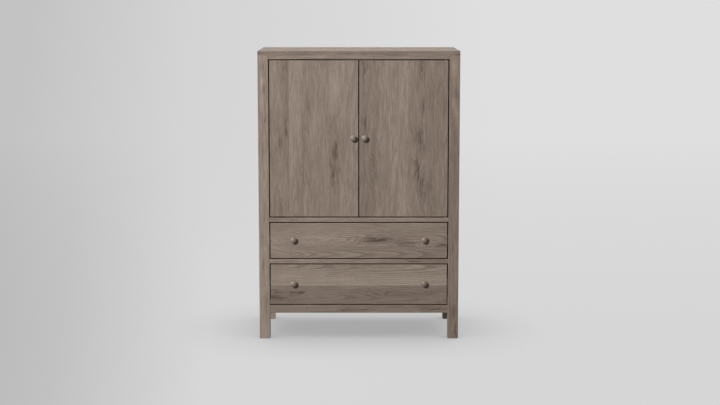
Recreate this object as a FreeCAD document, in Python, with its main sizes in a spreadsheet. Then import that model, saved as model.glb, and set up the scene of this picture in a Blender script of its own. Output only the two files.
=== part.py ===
import FreeCAD, Part
import math
import os
import re
import Sketcher

# TV armoire of solid wood: four posts that run down as legs, a flush top, two inset slab doors on
# pivot hinges over two drawers on telescopic slides. Millimetres, +Z up, the front faces -Y, and
# the origin lies on the floor under the middle of the bounding box, knobs included.

SIZES = {
    # case
    "case_width": 965,
    "case_depth": 500,
    "top_thickness": 22,
    "leg_clearance": 127,
    "post_width": 50.8,
    "edge_ease": 2,
    "front_gap": 5,
    "bottom_rail_height": 38,
    "bottom_rail_thickness": 38,
    "mid_rail_height": 21.5,
    "top_rail_height": 18,
    "rear_rail_thickness": 22,
    "top_rear_rail_height": 60,
    "tenon_length": 20,
    "side_thickness": 18,
    "side_recess": 8,
    "groove_depth": 8,
    "dowel_radius": 5,
    "dowel_in_post": 25,
    "dowel_in_top": 12,
    "strap_hole_radius": 1.75,
    "strap_hole_depth": 16,
    "strap_hole_spacing": 406.4,
    # back panel with its cable holes
    "back_thickness": 6,
    "cable_hole_radius": 32,
    "cable_hole_rise": 75,
    "cable_hole_inset": 110,
    # door compartment
    "floor_thickness": 18,
    "floor_cleat_height": 24,
    "tv_height": 470,
    "shelf_thickness": 20,
    "shelf_setback": 12,
    "shelf_side_gap": 2.5,
    "shelf_back_gap": 4,
    "pin_radius": 3,
    "pin_collar_radius": 4,
    "pin_collar_width": 1.5,
    "pin_fit": 0.05,
    "pin_depth": 10,
    "pin_reach": 11,
    "pin_setback": 14,
    "pin_pitch": 32,
    # doors
    "door_height": 750.5,
    "door_thickness": 20,
    "door_knob_inset": 25,
    "pivot_inset": 14,
    "pivot_radius": 2.5,
    "pivot_collar_radius": 4.5,
    "pivot_fit": 0.05,
    "pivot_float": 0.3,
    "leaf_length": 60,
    "leaf_width": 11,
    "leaf_thickness": 2.5,
    "leaf_margin": 1.5,
    "leaf_screw_radius": 1.5,
    "leaf_screw_head_radius": 3,
    "leaf_screw_head": 1.6,
    "leaf_screw_length": 14,
    "leaf_screw_tip": 3,
    "leaf_screw_first": 20,
    "leaf_screw_pitch": 26,
    "catch_width": 36,
    "catch_height": 14,
    "catch_depth": 24,
    "catch_ease": 1.5,
    "catch_gap": 0.4,
    "catch_offset": 36,
    "pole_width": 24,
    "pole_height": 2,
    "pole_reach": 1.2,
    "pole_spacing": 6,
    "strike_width": 30,
    "strike_height": 12,
    "strike_thickness": 1.2,
    "strike_drop": 3,
    # turned knobs
    "knob_radius": 17,
    "knob_projection": 20.5,
    "knob_base_radius": 9.5,
    "knob_base": 2,
    "knob_neck_radius": 7.5,
    "knob_neck": 4,
    "knob_rim": 9.5,
    "knob_flare_radius": 11,
    "knob_rim_ease": 2.5,
    "knob_rise": 4.5,
    "knob_screw_radius": 2,
    "knob_screw_head_radius": 4.5,
    "knob_screw_head": 2,
    "knob_screw_bite": 14,
    "knob_screw_fit": 0.25,
    # drawers
    "upper_front_height": 171.5,
    "lower_front_height": 195,
    "front_thickness": 20,
    "drawer_knob_inset": 111,
    "box_wall": 13,
    "box_lift": 12,
    "box_drop": 18,
    "box_back_room": 22,
    "bottom_rise": 9,
    "bottom_thickness": 6,
    "bottom_groove": 5,
    # telescopic slides
    "slide_height": 45,
    "slide_space": 12.7,
    "slide_gauge": 1.2,
    "slide_play": 0.3,
    "slide_reach": 10,
    "slide_lip": 2,
    "slide_head_room": 2.8,
    "slide_setback": 3,
    "slide_back_room": 46,
    "slide_cleat_height": 60,
    "slide_screw_radius": 2,
    "slide_screw_head_radius": 3.5,
    "slide_screw_head": 1.8,
    "slide_screw_bite": 14,
    "slide_screw_tip": 3,
    "slide_screw_front": 14,
    "slide_screw_back": 60,
    # shared by all cuts
    "overrun": 1,
    # shares and counts
    "tenon_share": 0.5,
    "tail_end_share": 0.62,
    "tail_base_share": 0.46,
    "tail_count": 4,
    "pin_hole_count": 5,
    "pole_count": 2,
}

# Places and sizes that follow from the driving dimensions. Distances to the side are written
# for the right half, so the left half takes them with a minus sign.
PLACES = {
    "half_width": "case_width / 2",
    "front": "(knob_projection - case_depth) / 2",
    "back": "front + case_depth",
    "post_inner": "half_width - post_width",
    "panel_outer": "half_width - side_recess",
    "panel_inner": "panel_outer - side_thickness",
    "behind_front_posts": "front + post_width",
    "rear_post_front": "back - post_width",
    "between_posts": "case_depth - 2 * post_width",
    "back_panel_front": "back - rear_rail_thickness - back_thickness",
    "bottom_rail_top": "leg_clearance + bottom_rail_height",
    "lower_front_bottom": "bottom_rail_top + front_gap",
    "lower_front_top": "lower_front_bottom + lower_front_height",
    "drawer_rail_bottom": "lower_front_top + front_gap",
    "drawer_rail_top": "drawer_rail_bottom + mid_rail_height",
    "upper_front_bottom": "drawer_rail_top + front_gap",
    "upper_front_top": "upper_front_bottom + upper_front_height",
    "door_rail_bottom": "upper_front_top + front_gap",
    "door_rail_top": "door_rail_bottom + mid_rail_height",
    "door_bottom": "door_rail_top + front_gap",
    "door_top": "door_bottom + door_height",
    "top_rail_bottom": "door_top + front_gap",
    "post_height": "top_rail_bottom + top_rail_height",
    "top_rear_rail_bottom": "post_height - top_rear_rail_height",
    "floor_bottom": "door_rail_top - floor_thickness",
    "shelf_bottom": "door_rail_top + tv_height",
    "shelf_front": "front + door_thickness + shelf_setback",
    "shelf_back": "back_panel_front - shelf_back_gap",
    "pin_height": "shelf_bottom - pin_radius",
    "pin_row_length": "pin_pitch * (pin_hole_count - 1)",
    "front_pin": "shelf_front + pin_setback",
    "rear_pin": "shelf_back - pin_setback",
    "door_back": "front + door_thickness",
    "door_outer": "post_inner - front_gap",
    "door_width": "door_outer - front_gap / 2",
    "door_middle": "door_bottom + door_height / 2",
    "pivot_side": "door_outer - pivot_inset",
    "pivot_setback": "leaf_margin + leaf_width / 2",
    "pivot_depth": "front + pivot_setback",
    "catch_front": "door_back + strike_thickness + catch_gap + pole_reach",
    "box_half": "post_inner - slide_space",
    "box_start": "front + front_thickness",
    "box_length": "back_panel_front - box_back_room - box_start",
    "slide_start": "box_start + slide_setback",
    "slide_length": "back_panel_front - slide_back_room - slide_start",
    "upper_box_bottom": "upper_front_bottom + box_lift",
    "upper_box_height": "upper_front_height - box_lift - box_drop",
    "lower_box_bottom": "lower_front_bottom + box_lift",
    "lower_box_height": "lower_front_height - box_lift - box_drop",
}

FRONT_RAILS = {
    "top_front_rail": ("top_rail_bottom", "top_rail_height", "post_width"),
    "door_rail": ("door_rail_bottom", "mid_rail_height", "post_width"),
    "drawer_rail": ("drawer_rail_bottom", "mid_rail_height", "post_width"),
    "bottom_front_rail": ("leg_clearance", "bottom_rail_height", "bottom_rail_thickness"),
}
REAR_RAILS = {
    "top_rear_rail": ("top_rear_rail_bottom", "top_rear_rail_height", "rear_rail_thickness"),
    "bottom_rear_rail": ("leg_clearance", "bottom_rail_height", "rear_rail_thickness"),
}
DRAWERS = ("upper", "lower")
TOUCH = 1e-6

doc = FreeCAD.newDocument("TvArmoire")
sheet = doc.addObject("Spreadsheet::Sheet", "Sizes")
for row, (name, value) in enumerate(SIZES.items(), start=1):
    sheet.set(f"A{row}", name)
    sheet.set(f"B{row}", str(value))
    sheet.setAlias(f"B{row}", name)
doc.recompute()
parts = {}


def formula(text):
    """The sheet expression for a sum written in the names of sizes and places."""

    def spell_out(match):
        word = match.group()
        return f"Sizes.{word}" if word in SIZES else f"({formula(PLACES[word])})"

    return re.sub(r"[a-z]\w*", spell_out, text)


def number(text):
    """The value of such a sum, for the first guess of a sketch."""
    return float(sheet.evalExpression(formula(text)))


def bind(feature, sizes):
    for name, text in sizes.items():
        feature.setExpression(name, formula(text))


def put(feature, place, kind="Placement"):
    bind(feature, {f"{kind}.Base.{axis}": text for axis, text in zip("xyz", place)})


def origin_feature(body, role):
    return next(feature for feature in body.Origin.OriginFeatures if feature.Role == role)


def attach(feature, body, plane, place):
    feature.AttachmentSupport = [(origin_feature(body, plane), "")]
    feature.MapMode = "FlatFace"
    put(feature, place, "AttachmentOffset")


def arc_between(here, there, radius, turn):
    """An arc between two points that turns left for 1 and right for -1."""
    half = (there - here) / 2
    left = FreeCAD.Vector(-half.y, half.x, 0).normalize()
    sag = math.sqrt(max(radius**2 - half.Length**2, 0))
    centre = here + half + left * (turn * sag)
    ends = [point - centre for point in ((here, there) if turn > 0 else (there, here))]
    angles = [math.atan2(end.y, end.x) for end in ends]
    return Part.ArcOfCircle(Part.Circle(centre, FreeCAD.Vector(0, 0, 1), radius), *angles)


def outline(body, plane, corners, lift="0"):
    """A closed sketch on one of the body's planes, with every corner bound to the sheet.

    A corner is (across, up) or, where an arc leads on from it, (across, up, radius, turn).
    """
    sketch = body.newObject("Sketcher::SketchObject", "Outline")
    attach(sketch, body, plane, ("0", "0", lift))
    spots = [FreeCAD.Vector(number(corner[0]), number(corner[1]), 0) for corner in corners]
    starts = []
    for index, corner in enumerate(corners):
        here = spots[index]
        there = spots[(index + 1) % len(spots)]
        if len(corner) == 2:
            sketch.addGeometry(Part.LineSegment(here, there), False)
            starts.append(1)
        else:
            radius, turn = corner[2:]
            sketch.addGeometry(arc_between(here, there, number(radius), turn), False)
            starts.append(1 if turn > 0 else 2)
    for index, corner in enumerate(corners):
        after = (index + 1) % len(corners)
        joined = Sketcher.Constraint("Coincident", index, 3 - starts[index], after, starts[after])
        sketch.addConstraint(joined)
        for kind, text in zip(("DistanceX", "DistanceY"), corner):
            fixed = Sketcher.Constraint(kind, -1, 1, index, starts[index], number(text))
            bind(sketch, {f"Constraints[{sketch.addConstraint(fixed)}]": text})
        if len(corner) > 2:
            fixed = Sketcher.Constraint("Radius", index, number(corner[2]))
            bind(sketch, {f"Constraints[{sketch.addConstraint(fixed)}]": corner[2]})
    return sketch


def circle(body, plane, radius, lift="0"):
    """A round sketch about the body's own origin."""
    sketch = body.newObject("Sketcher::SketchObject", "Round")
    attach(sketch, body, plane, ("0", "0", lift))
    ring = Part.Circle(FreeCAD.Vector(), FreeCAD.Vector(0, 0, 1), number(radius))
    sketch.addGeometry(ring, False)
    sketch.addConstraint(Sketcher.Constraint("Coincident", 0, 3, -1, 1))
    fixed = Sketcher.Constraint("Radius", 0, number(radius))
    bind(sketch, {f"Constraints[{sketch.addConstraint(fixed)}]": radius})
    return sketch


def rectangle(across, up, start=("0", "0")):
    """The corners of a rectangle, counter-clockwise from its lower left one."""
    left, low = start
    right = f"{left} + {across}"
    high = f"{low} + {up}"
    return [(left, low), (right, low), (right, high), (left, high)]


def new_body(label):
    body = doc.addObject("PartDesign::Body", label)
    body.Label = label
    return body


def extrude(body, kind, sketch, length, reverse=False):
    """A Pad along the sketch's normal, or a Pocket against it, or the other way round."""
    feature = body.newObject(f"PartDesign::{kind}", kind)
    feature.Profile = sketch
    feature.Reversed = reverse
    bind(feature, {"Length": length})
    return feature


def revolve(body, sketch, axis="V_Axis"):
    feature = body.newObject("PartDesign::Revolution", "Revolution")
    feature.Profile = sketch
    feature.ReferenceAxis = (sketch, [axis])
    feature.Angle = 360
    return feature


def repeat(body, feature, axis, length, count):
    """Copies of one feature in a row, the last one a given length from the first."""
    row = body.newObject("PartDesign::LinearPattern", "Row")
    row.Originals = [feature]
    row.Direction = (origin_feature(body, axis), [""])
    bind(row, {"Length": length, "Occurrences": count})
    body.Tip = row


def ease(body, pick, radius="edge_ease"):
    """Rounds those edges of the body so far whose middle pick() chooses."""
    doc.recompute()
    base = body.Tip
    edges = enumerate(base.Shape.Edges, start=1)
    names = [f"Edge{index}" for index, edge in edges if pick(edge.CenterOfMass)]
    feature = body.newObject("PartDesign::Fillet", "Ease")
    feature.Base = (base, names)
    bind(feature, {"Radius": radius})


def board(label, place, size):
    """A plain board with one corner at its place."""
    body = new_body(label)
    extrude(body, "Pad", outline(body, "XY_Plane", rectangle(size[0], size[1])), size[2])
    put(body, place)
    return body


def cut_box(body, place, size):
    cut = body.newObject("PartDesign::SubtractiveBox", "Cut")
    attach(cut, body, "XY_Plane", place)
    bind(cut, dict(zip(("Length", "Width", "Height"), size)))
    return cut


def drill(body, plane, place, radius, depth):
    """A round hole along the plane's normal, from its place in the plane's own axes."""
    hole = body.newObject("PartDesign::SubtractiveCylinder", "Bore")
    attach(hole, body, plane, place)
    bind(hole, {"Radius": radius, "Height": depth})
    return hole


def mirrored(label, source):
    """The right-hand twin of a left-hand piece."""
    twin = doc.addObject("Part::Mirroring", label)
    twin.Label = label
    twin.Source = source
    twin.Normal = FreeCAD.Vector(1, 0, 0)
    return twin


def group(label, pieces):
    together = doc.addObject("Part::Compound", label)
    together.Label = label
    together.Links = pieces
    return together


def pair(label, left):
    """A left-hand piece and its right-hand twin as one group."""
    return group(label, [left, mirrored(f"{label}_twin", left)])


def cut_by(label, base, tool):
    """A piece with the holes that other pieces need in it."""
    cut = doc.addObject("Part::Cut", label)
    cut.Label = label
    cut.Base = base
    cut.Tool = tool
    return cut


def both_sides(kind, left):
    """Keeps a left-hand sub-part and its right-hand twin, under names that start with the side."""
    parts[f"left_{kind}"] = left
    parts[f"right_{kind}"] = mirrored(f"right_{kind}", left)


def tenon_of(height, depth):
    """Section of a rail's tenon and how far it stands in from the rail's lower front edge."""
    section = (f"{depth} * tenon_share", f"{height} * tenon_share")
    inset = (f"{depth} * (1 - tenon_share) / 2", f"{height} * (1 - tenon_share) / 2")
    return section, inset


def rail(label, bottom, height, depth, face):
    """A rail between two posts with a tenon at each end."""
    body = board(label, ("-post_inner", face, bottom), ("2 * post_inner", depth, height))
    half_length = number("post_inner")
    ease(body, lambda at: abs(at.x - half_length) < TOUCH and abs(at.y) < TOUCH)
    section, inset = tenon_of(height, depth)
    tenon = body.newObject("PartDesign::AdditiveBox", "Tenons")
    attach(tenon, body, "XY_Plane", ("-tenon_length", *inset))
    bind(tenon, {"Length": "2 * post_inner + 2 * tenon_length", "Width": section[0], "Height": section[1]})
    return body


def post(label, face, rails, rail_inset):
    """A left-hand post: its groove for the side panel, its mortises and its shelf-pin holes."""
    body = board(label, ("-half_width", face, "0"), ("post_width", "post_width", "post_height"))
    below_top = number("post_height") - TOUCH
    ease(body, lambda at: at.z < below_top)
    for bottom, height, depth in rails.values():
        section, inset = tenon_of(height, depth)
        place = ("post_width - tenon_length", f"{rail_inset(depth)} + {inset[0]}", f"{bottom} + {inset[1]}")
        cut_box(body, place, ("tenon_length + overrun", *section))
    return body


def pin_holes(body, depth_in_post):
    """A row of shelf-pin holes in a post's inner face, with the shelf's own hole at its middle."""
    place = (depth_in_post, "pin_height - pin_row_length / 2", "post_width - pin_depth")
    hole = drill(body, "YZ_Plane", place, "pin_radius + pin_fit", "pin_depth + overrun")
    repeat(body, hole, "Z_Axis", "pin_row_length", "pin_hole_count")


def dowel_hole(body):
    middle = "post_width / 2"
    place = (middle, middle, "post_height - dowel_in_post")
    drill(body, "XY_Plane", place, "dowel_radius", "dowel_in_post + overrun")


def front_post():
    body = post("front_left_post_blank", "front", FRONT_RAILS, lambda depth: "0")
    groove_start = ("side_recess", "post_width - groove_depth", "leg_clearance")
    cut_box(body, groove_start, ("side_thickness", "groove_depth + overrun", "post_height"))
    pin_holes(body, "front_pin - front")
    dowel_hole(body)
    return body


def rear_post():
    body = post("rear_left_post", "rear_post_front", REAR_RAILS, lambda depth: f"post_width - {depth}")
    groove_start = ("side_recess", "-overrun", "leg_clearance")
    cut_box(body, groove_start, ("side_thickness", "groove_depth + overrun", "post_height"))
    back_groove = ("post_width - groove_depth", "back_panel_front - rear_post_front", "leg_clearance")
    cut_box(body, back_groove, ("groove_depth + overrun", "back_thickness", "post_height"))
    pin_holes(body, "rear_pin - rear_post_front")
    dowel_hole(body)
    return body


def side_panel():
    place = ("-panel_outer", "behind_front_posts - groove_depth", "leg_clearance")
    size = ("side_thickness", "between_posts + 2 * groove_depth", "post_height - leg_clearance")
    return board("left_side_panel", place, size)


def top_panel():
    place = ("-half_width", "front", "post_height")
    body = board("top_panel", place, ("case_width", "case_depth", "top_thickness"))
    ease(body, lambda at: at.z > TOUCH)
    middle = "post_width / 2"
    for across in (middle, f"case_width - {middle}"):
        for deep in (middle, f"case_depth - {middle}"):
            drill(body, "XY_Plane", (across, deep, "-overrun"), "dowel_radius", "dowel_in_top + overrun")
    return body


def top_dowels():
    """Four dowels that hold the top on the ends of the posts."""
    left = []
    for name, deep in (("front", "front + post_width / 2"), ("rear", "back - post_width / 2")):
        body = new_body(f"{name}_dowel")
        extrude(body, "Pad", circle(body, "XY_Plane", "dowel_radius"), "dowel_in_post + dowel_in_top")
        put(body, ("-half_width + post_width / 2", deep, "post_height - dowel_in_post"))
        left.append(body)
    return pair("top_dowels", group("left_dowels", left))


def top_rear_rail():
    """The upper rear rail, with two pilot holes in its back for a wall strap."""
    bottom, height, depth = REAR_RAILS["top_rear_rail"]
    body = rail("top_rear_rail", bottom, height, depth, f"back - {depth}")
    for side in ("-", "+"):
        place = (f"post_inner {side} strap_hole_spacing / 2", f"{height} / 2", f"-{depth} - overrun")
        drill(body, "XZ_Plane", place, "strap_hole_radius", "strap_hole_depth + overrun")
    return body


def back_panel():
    """A thin panel in the rear posts' grooves: two cable holes low down and two over the shelf."""
    place = ("-post_inner - groove_depth", "back_panel_front", "leg_clearance")
    size = ("2 * post_inner + 2 * groove_depth", "back_thickness", "post_height - leg_clearance")
    body = board("back_panel", place, size)
    low = "door_rail_top + cable_hole_rise - leg_clearance"
    high = "shelf_bottom + shelf_thickness + cable_hole_rise - leg_clearance"
    middle = "post_inner + groove_depth"
    reach = "(post_inner - cable_hole_inset)"
    for up in (low, high):
        for across in (f"{middle} - {reach}", f"{middle} + {reach}"):
            place = (across, up, "-back_thickness - overrun")
            drill(body, "XZ_Plane", place, "cable_hole_radius", "back_thickness + 2 * overrun")
    return body


def compartment_floor():
    """The floor behind the doors, notched round the rear posts."""
    place = ("-panel_inner", "behind_front_posts", "floor_bottom")
    size = ("2 * panel_inner", "back_panel_front - behind_front_posts", "floor_thickness")
    body = board("compartment_floor", place, size)
    notch = ("panel_inner - post_inner + overrun", "post_width", "floor_thickness + 2 * overrun")
    for across in ("-overrun", "panel_inner + post_inner"):
        cut_box(body, (across, "rear_post_front - behind_front_posts", "-overrun"), notch)
    return body


def side_cleat(label, bottom, height):
    """A strip on the left side panel, between the posts and flush with their inner faces."""
    place = ("-panel_inner", "behind_front_posts", bottom)
    return board(label, place, ("panel_inner - post_inner", "between_posts", height))


def shelf():
    place = ("-post_inner + shelf_side_gap", "shelf_front", "shelf_bottom")
    size = ("2 * post_inner - 2 * shelf_side_gap", "shelf_back - shelf_front", "shelf_thickness")
    body = board("adjustable_shelf", place, size)
    middle = number("shelf_thickness") / 2
    ease(body, lambda at: abs(at.y) < TOUCH and abs(at.z - middle) > TOUCH)
    return body


def shelf_pins():
    """Four turned pins, each with a collar against its post."""
    left = []
    for name, deep in (("front", "front_pin"), ("rear", "rear_pin")):
        body = new_body(f"{name}_pin")
        corners = [
            ("-pin_depth", "0"),
            ("pin_reach", "0"),
            ("pin_reach", "pin_radius"),
            ("pin_collar_width", "pin_radius"),
            ("pin_collar_width", "pin_collar_radius"),
            ("0", "pin_collar_radius"),
            ("0", "pin_radius"),
            ("-pin_depth", "pin_radius"),
        ]
        revolve(body, outline(body, "XY_Plane", corners), "H_Axis")
        put(body, ("-post_inner", deep, "pin_height"))
        left.append(body)
    return pair("shelf_pins", group("left_pins", left))


def leaf_corners(inwards=""):
    """A pivot leaf about its pivot, from above: its square end points to +X, or to -X for "-"."""
    half = "leaf_width / 2"
    return [
        ("0", f"-({inwards}{half})"),
        (f"{inwards}leaf_length", f"-({inwards}{half})"),
        (f"{inwards}leaf_length", f"{inwards}{half}"),
        ("0", f"{inwards}{half}", half, 1),
        (f"-({inwards}{half})", "0", half, 1),
    ]


def let_in_leaf(body, across, level, upwards, inwards=""):
    """A recess for a leaf in the face at a level, cut upwards from it or downwards."""
    recess = outline(body, "XY_Plane", leaf_corners(inwards))
    put(recess, (across, "pivot_setback", level), "AttachmentOffset")
    extrude(body, "Pocket", recess, "leaf_thickness", upwards)


def frame_leaf(label, level, upwards):
    """A leaf let into a rail, with the pin that stands out of it through a collar in the gap."""
    body = new_body(label)
    extrude(body, "Pad", outline(body, "XY_Plane", leaf_corners()), "leaf_thickness", not upwards)
    extrude(body, "Pad", circle(body, "XY_Plane", "pivot_collar_radius"), "front_gap - pivot_float", upwards)
    extrude(body, "Pad", circle(body, "XY_Plane", "pivot_radius"), "front_gap + leaf_thickness", upwards)
    put(body, ("-pivot_side", "pivot_depth", level))
    return body


def door_leaf(label, level, upwards):
    """A leaf let into a door's end, with the hole that turns on the frame's pin."""
    body = new_body(label)
    extrude(body, "Pad", outline(body, "XY_Plane", leaf_corners()), "leaf_thickness", not upwards)
    start = ("0", "0", "-leaf_thickness - overrun")
    drill(body, "XY_Plane", start, "pivot_radius + pivot_fit", "2 * (leaf_thickness + overrun)")
    put(body, ("-pivot_side", "pivot_depth", level))
    return body


def leaf_screws(label, level, upwards):
    """The two countersunk screws of one leaf, with their heads flush at a level."""
    sign = "" if upwards else "-"
    screws = []
    for name, along in (("near", "leaf_screw_first"), ("far", "leaf_screw_first + leaf_screw_pitch")):
        body = new_body(f"{label}_{name}")
        corners = [
            ("0", "0"),
            ("leaf_screw_head_radius", "0"),
            ("leaf_screw_radius", f"{sign}leaf_screw_head"),
            ("leaf_screw_radius", f"{sign}(leaf_screw_length - leaf_screw_tip)"),
            ("0", f"{sign}leaf_screw_length"),
        ]
        revolve(body, outline(body, "XZ_Plane", corners))
        put(body, (f"-pivot_side + {along}", "pivot_depth", level))
        screws.append(body)
    return screws


def knob(label, across, up):
    """A turned mushroom knob with a pilot hole for its screw."""
    body = new_body(label)
    dome = "(knob_projection - knob_rim)"
    corners = [
        ("0", "0"),
        ("knob_base_radius", "0"),
        ("knob_base_radius", "-knob_base"),
        ("knob_neck_radius", "-knob_neck", "knob_flare_radius", 1),
        ("knob_radius", "-knob_rim", f"(knob_radius * knob_radius + {dome} * {dome}) / (2 * {dome})", -1),
        ("0", "-knob_projection"),
    ]
    revolve(body, outline(body, "XY_Plane", corners))
    rim = number("knob_rim")
    ease(body, lambda at: abs(at.y + rim) < TOUCH, "knob_rim_ease")
    drill(body, "XZ_Plane", ("0", "0", "-overrun"), "knob_screw_radius", "knob_screw_bite + overrun")
    put(body, (across, "front", up))
    return body


def knob_screw(label, across, up, grip):
    """A machine screw from behind a panel of a given grip into its knob."""
    body = new_body(label)
    corners = [
        ("0", "-knob_screw_bite"),
        ("knob_screw_radius", "-knob_screw_bite"),
        ("knob_screw_radius", grip),
        ("knob_screw_head_radius", grip),
        ("knob_screw_head_radius", f"{grip} + knob_screw_head"),
        ("0", f"{grip} + knob_screw_head"),
    ]
    revolve(body, outline(body, "XY_Plane", corners))
    put(body, (across, "front", up))
    return body


def knob_hole(body, across, up, depth):
    """A clearance hole for a knob's screw through a panel whose front lies at its own zero."""
    place = (across, up, f"-({depth}) - overrun")
    drill(body, "XZ_Plane", place, "knob_screw_radius + knob_screw_fit", f"{depth} + 2 * overrun")


def door_slab():
    """The left door: eased all round, let in for its leaves and drilled for its knob."""
    place = ("-door_outer", "front", "door_bottom")
    body = board("left_door_blank", place, ("door_width", "door_thickness", "door_height"))
    ease(body, lambda at: True)
    let_in_leaf(body, "pivot_inset", "0", True)
    let_in_leaf(body, "pivot_inset", "door_height", False)
    knob_hole(body, "door_width - door_knob_inset", "door_height / 2 + knob_rise", "door_thickness")
    return body


def strike_plate():
    """The plate on the left door's back that its catch holds."""
    middle = "top_rail_bottom - catch_height / 2 - strike_drop"
    place = ("-catch_offset - strike_width / 2", "door_back", f"{middle} - strike_height / 2")
    return board("left_strike_plate", place, ("strike_width", "strike_thickness", "strike_height"))


def door_catch():
    """A magnetic catch under the top rail: its case and the two pole plates that face the strike."""
    place = ("-catch_offset - catch_width / 2", "catch_front", "top_rail_bottom - catch_height")
    body = board("left_catch", place, ("catch_width", "catch_depth", "catch_height"))
    middle = number("catch_height") / 2
    ease(body, lambda at: abs(at.z - middle) < TOUCH, "catch_ease")
    corner = ("(catch_width - pole_width) / 2", "pole_height")
    pole = outline(body, "XZ_Plane", rectangle("pole_width", "pole_height", corner))
    row = extrude(body, "Pad", pole, "pole_reach")
    repeat(body, row, "Z_Axis", "pole_spacing", "pole_count")
    return body


def hung_doors():
    """Both doors with their hardware, and the rails that their hinges are let into."""
    levels = (("top", "top_rail_bottom", "door_top", True), ("bottom", "door_rail_top", "door_bottom", False))
    frame_leaves = []
    frame_screws = []
    door_leaves = []
    door_screws = []
    for name, rail_level, door_level, into_rail in levels:
        frame_leaves.append(frame_leaf(f"{name}_frame_leaf", rail_level, into_rail))
        frame_screws += leaf_screws(f"{name}_frame_screw", rail_level, into_rail)
        door_leaves.append(door_leaf(f"{name}_door_leaf", door_level, not into_rail))
        door_screws += leaf_screws(f"{name}_door_screw", door_level, not into_rail)
    left_frame_screws = group("left_frame_screws", frame_screws)
    left_door_screws = group("left_door_pivot_screws", door_screws)
    parts["frame_pivot_screws"] = pair("frame_pivot_screws", left_frame_screws)
    plain_frame_leaves = group("frame_leaves", frame_leaves)
    plain_door_leaves = group("door_leaves", door_leaves)
    both_sides("frame_pivots", cut_by("left_frame_pivots", plain_frame_leaves, left_frame_screws))
    both_sides("door_pivots", cut_by("left_door_pivots", plain_door_leaves, left_door_screws))
    both_sides("door_pivot_screws", left_door_screws)
    both_sides("door_slab", cut_by("left_door_slab", door_slab(), left_door_screws))
    knob_place = ("-door_outer + door_width - door_knob_inset", "door_middle + knob_rise")
    both_sides("door_knob", knob("left_door_knob", *knob_place))
    both_sides("door_knob_screw", knob_screw("left_door_knob_screw", *knob_place, "door_thickness"))
    both_sides("strike_plate", strike_plate())
    parts["door_catches"] = pair("door_catches", door_catch())


def front_rails():
    """The four front rails; the two round the doors are let in and drilled for the pivot leaves."""
    for label, (bottom, height, depth) in FRONT_RAILS.items():
        holds_pivots = label in ("top_front_rail", "door_rail")
        body = rail(f"{label}_blank" if holds_pivots else label, bottom, height, depth, "front")
        if holds_pivots:
            upwards = label == "top_front_rail"
            level = "0" if upwards else height
            let_in_leaf(body, "post_inner - pivot_side", level, upwards)
            let_in_leaf(body, "post_inner + pivot_side", level, upwards, "-")
            body = cut_by(label, body, parts["frame_pivot_screws"])
        parts[label] = body


def channel_corners(start, reach, half):
    """A rolled channel in section: web at its start, flanges out to its reach, lips turned in."""
    lip = "(slide_gauge + slide_lip)"
    return [
        (start, f"-({half})"),
        (reach, f"-({half})"),
        (reach, f"-({half}) + {lip}"),
        (f"{reach} - slide_gauge", f"-({half}) + {lip}"),
        (f"{reach} - slide_gauge", f"-({half}) + slide_gauge"),
        (f"{start} + slide_gauge", f"-({half}) + slide_gauge"),
        (f"{start} + slide_gauge", f"{half} - slide_gauge"),
        (f"{reach} - slide_gauge", f"{half} - slide_gauge"),
        (f"{reach} - slide_gauge", f"{half} - {lip}"),
        (reach, f"{half} - {lip}"),
        (reach, half),
        (start, half),
    ]


def hat_corners(start, reach, half, bead):
    """The drawer member in section: web on the drawer, flanges between the lips, beads behind."""
    return [
        (reach, f"-({half})"),
        (reach, half),
        (f"{start} + slide_gauge", half),
        (f"{start} + slide_gauge", bead),
        (start, bead),
        (start, f"{half} - slide_gauge"),
        (f"{reach} - slide_gauge", f"{half} - slide_gauge"),
        (f"{reach} - slide_gauge", f"-({half}) + slide_gauge"),
        (start, f"-({half}) + slide_gauge"),
        (start, f"-({bead})"),
        (f"{start} + slide_gauge", f"-({bead})"),
        (f"{start} + slide_gauge", f"-({half})"),
    ]


def slide_member(label, corners, level):
    """One member of a left-hand slide, drawn from the post's inner face towards the drawer."""
    body = new_body(label)
    extrude(body, "Pad", outline(body, "XZ_Plane", corners), "slide_length", True)
    put(body, ("-post_inner", "slide_start", level))
    return body


def slide_screws(name, level):
    """Two pan-head screws through a cabinet member, into the front post and into the cleat."""
    screws = []
    for end, along in (("front", "slide_screw_front"), ("back", "slide_length - slide_screw_back")):
        body = new_body(f"{name}_slide_screw_{end}")
        corners = [
            ("-slide_screw_bite", "0"),
            ("slide_gauge + slide_screw_head", "0"),
            ("slide_gauge + slide_screw_head", "slide_screw_head_radius"),
            ("slide_gauge", "slide_screw_head_radius"),
            ("slide_gauge", "slide_screw_radius"),
            ("slide_screw_tip - slide_screw_bite", "slide_screw_radius"),
        ]
        revolve(body, outline(body, "XY_Plane", corners), "H_Axis")
        put(body, ("-post_inner", f"slide_start + {along}", level))
        screws.append(body)
    return screws


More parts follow.
